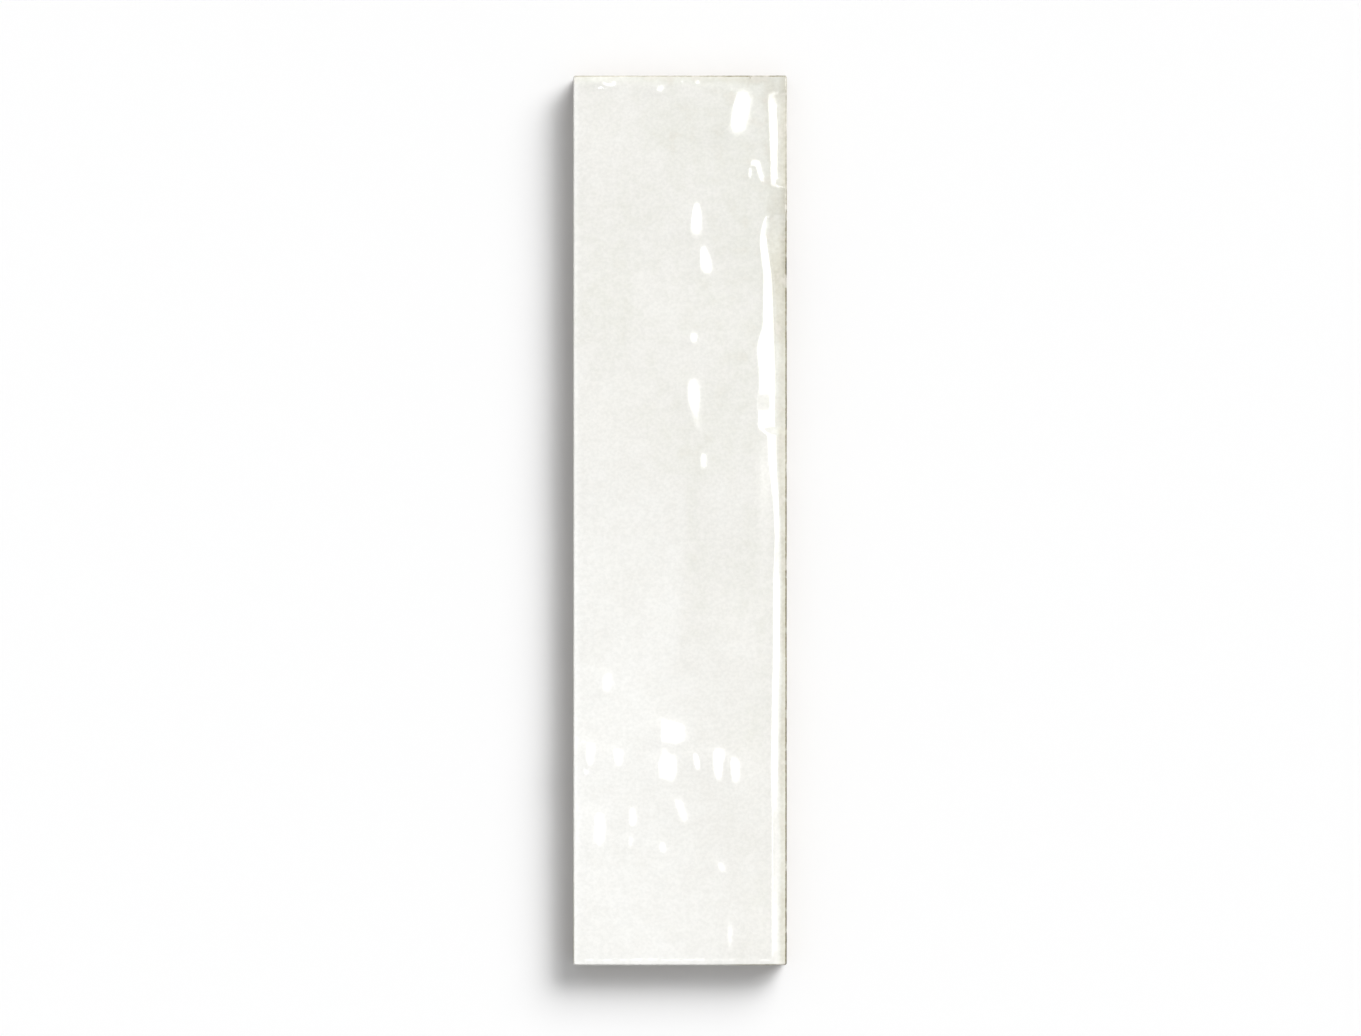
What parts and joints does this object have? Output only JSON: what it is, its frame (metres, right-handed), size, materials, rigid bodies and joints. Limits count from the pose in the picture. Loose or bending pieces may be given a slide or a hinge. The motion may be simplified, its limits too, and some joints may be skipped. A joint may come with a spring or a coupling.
{
  "type": "wall tile",
  "caption": "Slim rectangular glazed ceramic wall tile with a gently wavy gloss face, a cushioned rim and a ribbed back that keys into wall adhesive.",
  "frame": {"origin": "middle of the back, on the plane of its ribs", "axes": "+Z out of the glazed face, +Y along the length, +X across the width"},
  "size_m": [0.06, 0.25, 0.0095],
  "materials": {
    "glazed_body": "gloss"
  },
  "bodies": {
    "root": {"wall_tile": "glazed_body"}
  },
  "joints": []
}
